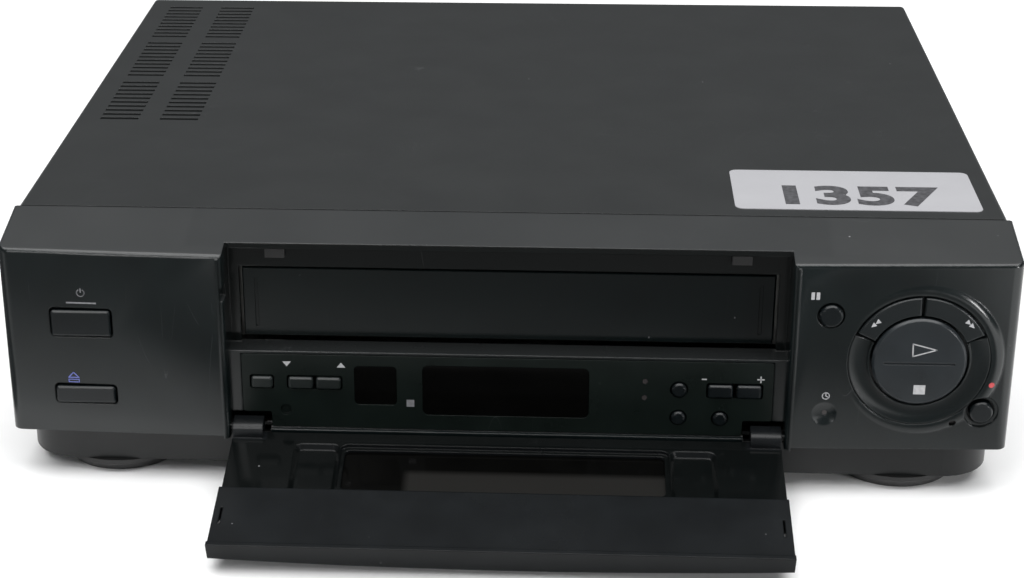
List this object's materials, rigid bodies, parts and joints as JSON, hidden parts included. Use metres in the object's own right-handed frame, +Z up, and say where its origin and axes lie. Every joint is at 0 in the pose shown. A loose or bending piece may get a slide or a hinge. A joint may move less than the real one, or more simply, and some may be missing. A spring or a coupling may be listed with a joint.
{
  "type": "video cassette recorder",
  "caption": "Front-loading video cassette recorder with a let-down door over its controls, a round transport dial, and a cassette holder, drum and reels inside a steel-covered case.",
  "frame": {"origin": "middle of the footprint of the whole part with its door let down, at the underside of the feet", "axes": "+X to the right as seen from the front, +Y from the front to the back, +Z up"},
  "size_m": [0.3614, 0.3744, 0.0963],
  "materials": {
    "cover_paint": "charcoal grey paint, fine satin",
    "fascia_plastic": "dark blue-black moulded plastic, satin",
    "door_plastic": "dark moulded plastic, satin",
    "panel_plastic": "near-black moulded plastic",
    "key_plastic": "dark grey moulded plastic",
    "accent_key_plastic": "mid grey moulded plastic",
    "smoked_window": "smoked glossy plastic",
    "tray_plastic": "black moulded plastic",
    "foot_plastic": "black moulded plastic",
    "rubber_pad": "black rubber",
    "lamp_lens": "tinted clear plastic",
    "label_paper": "off-white plastic film",
    "screw_steel": "blackened steel",
    "rear_steel": "black painted sheet steel",
    "zinc_steel": "zinc-plated sheet steel",
    "deck_aluminium": "turned aluminium",
    "board_laminate": "brown circuit board laminate",
    "component_plastic": "black moulded plastic",
    "display_glass": "vacuum display tube glass",
    "socket_plastic": "black moulded plastic",
    "socket_metal": "nickel-plated brass",
    "reel_plastic": "white acetal plastic",
    "roller_rubber": "dark brown rubber"
  },
  "bodies": {
    "chassis": {"top_cover": "cover_paint", "front_fascia": "fascia_plastic", "base_tray": "tray_plastic", "rear_panel": "rear_steel", "cover_screws": "screw_steel", "dial_bezel": "fascia_plastic", "control_panel": "panel_plastic", "display_window": "smoked_window", "sensor_window": "smoked_window", "door_buffers": "rubber_pad", "indicator_lamps": "lamp_lens", "inventory_label": "label_paper", "front_board": "board_laminate", "key_switches": "component_plastic", "display_tube": "display_glass", "mains_inlet": "socket_plastic", "scart_socket": "socket_plastic", "aerial_sockets": "socket_metal", "tuner_module": "zinc_steel", "main_board": "board_laminate", "power_board": "board_laminate", "power_transformer": "component_plastic", "deck_plate": "zinc_steel", "guide_plates": "zinc_steel", "lower_drum": "deck_aluminium", "capstan_bearing": "component_plastic", "loading_motor": "zinc_steel", "tape_heads": "zinc_steel", "foot_front_left": "foot_plastic", "foot_front_right": "foot_plastic", "foot_rear_left": "foot_plastic", "foot_rear_right": "foot_plastic"},
    "door": {"front_door": "door_plastic", "door_window": "smoked_window"},
    "flap": {"cassette_flap": "panel_plastic"},
    "holder": {"cassette_holder": "zinc_steel"},
    "drum": {"upper_drum": "deck_aluminium"},
    "capstan_shaft": {"capstan": "zinc_steel"},
    "supply_table": {"supply_reel": "reel_plastic"},
    "takeup_table": {"takeup_reel": "reel_plastic"},
    "supply_loader": {"supply_guide": "zinc_steel"},
    "takeup_loader": {"takeup_guide": "zinc_steel"},
    "pinch_lever": {"pinch_arm": "zinc_steel"},
    "pinch_wheel": {"pinch_roller": "roller_rubber"},
    "rocker": {"play_stop_rocker": "key_plastic"},
    "power_key_body": {"power_key": "key_plastic"},
    "eject_key_body": {"eject_key": "key_plastic"},
    "pause_button_body": {"pause_button": "key_plastic"},
    "record_button_body": {"record_button": "key_plastic"},
    "auto_tracking_key_body": {"auto_tracking_key": "accent_key_plastic"},
    "tracking_down_key_body": {"tracking_down_key": "accent_key_plastic"},
    "tracking_up_key_body": {"tracking_up_key": "accent_key_plastic"},
    "program_down_key_body": {"program_down_key": "key_plastic"},
    "program_up_key_body": {"program_up_key": "key_plastic"},
    "preset_button_body": {"preset_button": "key_plastic"},
    "search_button_body": {"search_button": "key_plastic"},
    "erase_button_body": {"erase_button": "key_plastic"},
    "rewind_key_body": {"rewind_key": "key_plastic"},
    "fast_forward_key_body": {"fast_forward_key": "key_plastic"}
  },
  "joints": [
    {"name": "door_hinge", "type": "hinge", "parent": "chassis", "child": "door", "pos_m": [0, -0.11805, 0.0214], "axis": [-1, 0, 0], "range_deg": [0, 101.4]},
    {"name": "flap_hinge", "type": "hinge", "parent": "chassis", "child": "flap", "pos_m": [0, -0.10445, 0.0823], "axis": [1, 0, 0], "range_deg": [0, 86], "stiffness_Nm_per_rad": 0.008, "springref_deg": -28.65},
    {"name": "power_key_travel", "type": "slide", "parent": "chassis", "child": "power_key_body", "axis": [0, 1, 0], "range_m": [0, 0.001], "stiffness_N_per_m": 300, "springref_m": -0.001},
    {"name": "eject_key_travel", "type": "slide", "parent": "chassis", "child": "eject_key_body", "axis": [0, 1, 0], "range_m": [0, 0.001], "stiffness_N_per_m": 300, "springref_m": -0.001},
    {"name": "pause_button_travel", "type": "slide", "parent": "chassis", "child": "pause_button_body", "axis": [0, 1, 0], "range_m": [0, 0.001], "stiffness_N_per_m": 300, "springref_m": -0.001},
    {"name": "record_button_travel", "type": "slide", "parent": "chassis", "child": "record_button_body", "axis": [0, 1, 0], "range_m": [0, 0.001], "stiffness_N_per_m": 300, "springref_m": -0.001},
    {"name": "auto_tracking_key_travel", "type": "slide", "parent": "chassis", "child": "auto_tracking_key_body", "axis": [0, 1, 0], "range_m": [0, 0.001], "stiffness_N_per_m": 300, "springref_m": -0.001},
    {"name": "tracking_down_key_travel", "type": "slide", "parent": "chassis", "child": "tracking_down_key_body", "axis": [0, 1, 0], "range_m": [0, 0.001], "stiffness_N_per_m": 300, "springref_m": -0.001},
    {"name": "tracking_up_key_travel", "type": "slide", "parent": "chassis", "child": "tracking_up_key_body", "axis": [0, 1, 0], "range_m": [0, 0.001], "stiffness_N_per_m": 300, "springref_m": -0.001},
    {"name": "program_down_key_travel", "type": "slide", "parent": "chassis", "child": "program_down_key_body", "axis": [0, 1, 0], "range_m": [0, 0.001], "stiffness_N_per_m": 300, "springref_m": -0.001},
    {"name": "program_up_key_travel", "type": "slide", "parent": "chassis", "child": "program_up_key_body", "axis": [0, 1, 0], "range_m": [0, 0.001], "stiffness_N_per_m": 300, "springref_m": -0.001},
    {"name": "preset_button_travel", "type": "slide", "parent": "chassis", "child": "preset_button_body", "axis": [0, 1, 0], "range_m": [0, 0.001], "stiffness_N_per_m": 300, "springref_m": -0.001},
    {"name": "search_button_travel", "type": "slide", "parent": "chassis", "child": "search_button_body", "axis": [0, 1, 0], "range_m": [0, 0.001], "stiffness_N_per_m": 300, "springref_m": -0.001},
    {"name": "erase_button_travel", "type": "slide", "parent": "chassis", "child": "erase_button_body", "axis": [0, 1, 0], "range_m": [0, 0.001], "stiffness_N_per_m": 300, "springref_m": -0.001},
    {"name": "rewind_key_travel", "type": "slide", "parent": "chassis", "child": "rewind_key_body", "axis": [0, 1, 0], "range_m": [0, 0.001], "stiffness_N_per_m": 300, "springref_m": -0.001},
    {"name": "fast_forward_key_travel", "type": "slide", "parent": "chassis", "child": "fast_forward_key_body", "axis": [0, 1, 0], "range_m": [0, 0.001], "stiffness_N_per_m": 300, "springref_m": -0.001},
    {"name": "rocker_tilt", "type": "hinge", "parent": "chassis", "child": "rocker", "pos_m": [0.14605, -0.11341, 0.0541], "axis": [1, 0, 0], "range_deg": [-2.5, 2.5], "stiffness_Nm_per_rad": 0.4},
    {"name": "holder_slide", "type": "slide", "parent": "chassis", "child": "holder", "axis": [0, 1, 0], "range_m": [0, 0.062]},
    {"name": "drum_spin", "type": "hinge", "parent": "chassis", "child": "drum", "pos_m": [0.0008, 0.09475, 0.03], "axis": [0, -0.0872, 0.9962], "continuous": true},
    {"name": "capstan_spin", "type": "hinge", "parent": "chassis", "child": "capstan_shaft", "pos_m": [0.0568, 0.07675, 0.015], "axis": [0, 0, 1], "continuous": true},
    {"name": "supply_reel_spin", "type": "hinge", "parent": "chassis", "child": "supply_table", "pos_m": [-0.0452, 0.00675, 0.031], "axis": [0, 0, 1], "continuous": true},
    {"name": "takeup_reel_spin", "type": "hinge", "parent": "chassis", "child": "takeup_table", "pos_m": [0.0468, 0.00675, 0.031], "axis": [0, 0, 1], "continuous": true},
    {"name": "takeup_guide_path", "type": "hinge", "parent": "chassis", "child": "takeup_loader", "pos_m": [0.0008, 0.09475, 0.027], "axis": [0, 0, 1], "range_deg": [0, 66]},
    {"name": "supply_guide_path", "type": "hinge", "parent": "chassis", "child": "supply_loader", "pos_m": [0.0008, 0.09475, 0.027], "axis": [0, 0, 1], "range_deg": [-66, 0]},
    {"name": "pinch_swing", "type": "hinge", "parent": "chassis", "child": "pinch_lever", "pos_m": [0.0703, 0.09875, 0.027], "axis": [0, 0, -1], "range_deg": [0, 13.5]},
    {"name": "pinch_roller_spin", "type": "hinge", "parent": "pinch_lever", "child": "pinch_wheel", "pos_m": [0.0703, 0.07075, 0.027], "axis": [0, 0, 1], "continuous": true}
  ],
  "couplings": [
    {"joint": "supply_guide_path", "follows": "takeup_guide_path", "ratio": -1}
  ]
}
